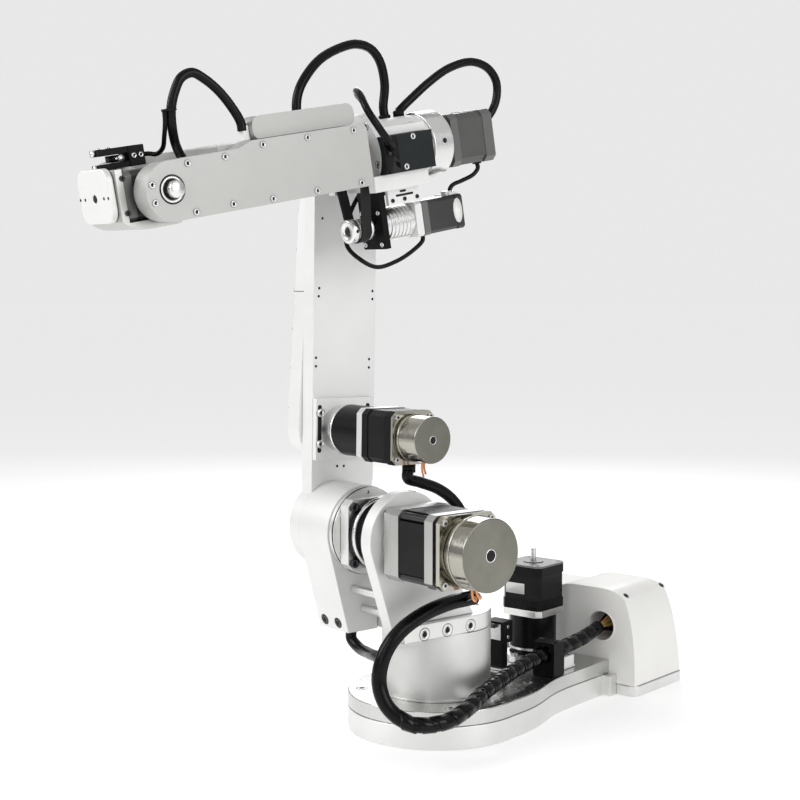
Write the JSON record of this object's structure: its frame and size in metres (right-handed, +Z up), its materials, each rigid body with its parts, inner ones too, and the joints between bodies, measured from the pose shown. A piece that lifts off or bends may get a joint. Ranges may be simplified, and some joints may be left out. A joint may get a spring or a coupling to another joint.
{
  "type": "desktop robot arm",
  "caption": "Six-axis desktop robot arm of aluminium plates with exposed motors, on a keyhole base with an electronics cover at the rear.",
  "frame": {"origin": "on the floor, on the vertical first axis", "axes": "+X forward from the electronics cover towards the round end of the base, +Y to the side of the big shoulder motor, +Z up; at rest the turret is turned 11 degrees about Z from +X"},
  "size_m": [0.5759, 0.2299, 0.5603],
  "materials": {
    "satin_aluminium": "satin",
    "polished_aluminium": "polished",
    "white_blasted_aluminium": "satin",
    "white_plastic": "satin",
    "black_motor_paint": "satin",
    "grey_motor_paint": "satin",
    "bright_steel": "satin",
    "nickel_plate": "polished",
    "black_anodised": "satin",
    "black_plastic": "matte",
    "belt_rubber": "matte",
    "cable_jacket": "satin"
  },
  "bodies": {
    "base": {"base_plate": "satin_aluminium", "base_top_plate": "polished_aluminium", "cover_foot": "satin_aluminium", "electronics_cover": "white_plastic", "j1_gearbox": "black_motor_paint", "j1_adapter_plate": "satin_aluminium", "j1_motor": "black_motor_paint", "cable_clamp": "black_plastic", "wire_terminal": "white_plastic", "j1_limit_switch": "black_plastic", "cable_harness": "cable_jacket"},
    "turret": {"turret_column": "satin_aluminium", "turret_deck": "white_blasted_aluminium", "j2_bearing_housing": "white_blasted_aluminium", "j2_bearing_cap": "satin_aluminium", "j2_gearbox_flange": "satin_aluminium", "j2_gearbox": "black_motor_paint", "j2_motor_plate": "white_blasted_aluminium", "j2_adapter_plate": "satin_aluminium", "j2_motor": "black_motor_paint", "j2_brake": "nickel_plate", "plate_spacer_high": "satin_aluminium", "plate_spacer_low": "satin_aluminium", "cable_shoulder_branch": "cable_jacket", "cable_j3_motor": "cable_jacket"},
    "upper_arm": {"upper_arm_plate": "white_blasted_aluminium", "upper_arm_belt_cover": "white_blasted_aluminium", "j2_hub": "satin_aluminium", "j3_motor_mount": "white_blasted_aluminium", "j3_gearbox": "black_motor_paint", "j3_adapter_plate": "satin_aluminium", "j3_motor": "black_motor_paint", "j3_brake": "nickel_plate"},
    "elbow": {"elbow_housing": "white_blasted_aluminium", "elbow_side_cover": "black_plastic", "j3_hub": "satin_aluminium", "j4_bracket": "black_anodised", "j4_gearbox": "bright_steel", "j4_adapter_plate": "satin_aluminium", "j4_motor": "grey_motor_paint", "j4_belt": "belt_rubber", "cable_elbow_cover": "cable_jacket", "cable_j4_motor": "cable_jacket"},
    "roll_pulley": {"j4_motor_pulley": "bright_steel"},
    "forearm": {"forearm_body": "satin_aluminium", "forearm_front_cover": "satin_aluminium", "forearm_cable_cover": "satin_aluminium", "j4_shaft_collar": "polished_aluminium", "j4_driven_pulley": "satin_aluminium", "j5_motor": "black_motor_paint", "cable_wrist_loop": "cable_jacket", "cable_limit_switch": "cable_jacket", "cable_forearm_loop": "cable_jacket", "cable_j5_motor": "cable_jacket", "cable_j5_to_j4": "cable_jacket"},
    "wrist": {"wrist_yoke": "satin_aluminium", "j6_motor": "grey_motor_paint", "wrist_axle": "bright_steel", "wrist_limit_bracket": "black_plastic"},
    "tool": {"tool_flange": "white_blasted_aluminium"}
  },
  "joints": [
    {"name": "j1_turret", "type": "hinge", "parent": "base", "child": "turret", "pos_m": [0, 0, 0.031], "axis": [0, 0, 1], "range_deg": [-158.8, 181.1], "deforming": ["cable_harness", "cable_shoulder_branch"]},
    {"name": "j2_shoulder", "type": "hinge", "parent": "turret", "child": "upper_arm", "pos_m": [0.06299, -0.01238, 0.16977], "axis": [0.1929, 0.9812, 0], "range_deg": [-40.9, 91.1], "deforming": ["cable_j3_motor"]},
    {"name": "j3_elbow", "type": "hinge", "parent": "upper_arm", "child": "elbow", "pos_m": [0.05715, -0.01123, 0.47471], "axis": [-0.1929, -0.9812, 0], "range_deg": [-40.8, 100.2]},
    {"name": "j4_forearm_roll", "type": "hinge", "parent": "elbow", "child": "forearm", "pos_m": [0.05715, -0.01123, 0.47471], "axis": [0.966, -0.1899, -0.1752], "range_deg": [-165, 165], "deforming": ["cable_forearm_loop", "cable_j5_motor", "cable_j5_to_j4", "cable_elbow_cover", "cable_j4_motor"]},
    {"name": "j4_pulley_spin", "type": "hinge", "parent": "elbow", "child": "roll_pulley", "pos_m": [0.04729, -0.0093, 0.4183], "axis": [0.966, -0.1899, -0.1752], "range_deg": [-364, 364]},
    {"name": "j5_wrist", "type": "hinge", "parent": "forearm", "child": "wrist", "pos_m": [0.27222, -0.0535, 0.43571], "axis": [0.1929, 0.9812, 0], "range_deg": [-105, 105], "deforming": ["cable_wrist_loop", "cable_limit_switch"]},
    {"name": "j6_tool_roll", "type": "hinge", "parent": "wrist", "child": "tool", "pos_m": [0.30724, -0.06039, 0.42936], "axis": [0.966, -0.1899, -0.1752], "range_deg": [-155, 155]}
  ],
  "couplings": [
    {"joint": "j4_pulley_spin", "follows": "j4_forearm_roll", "ratio": 2.2}
  ]
}
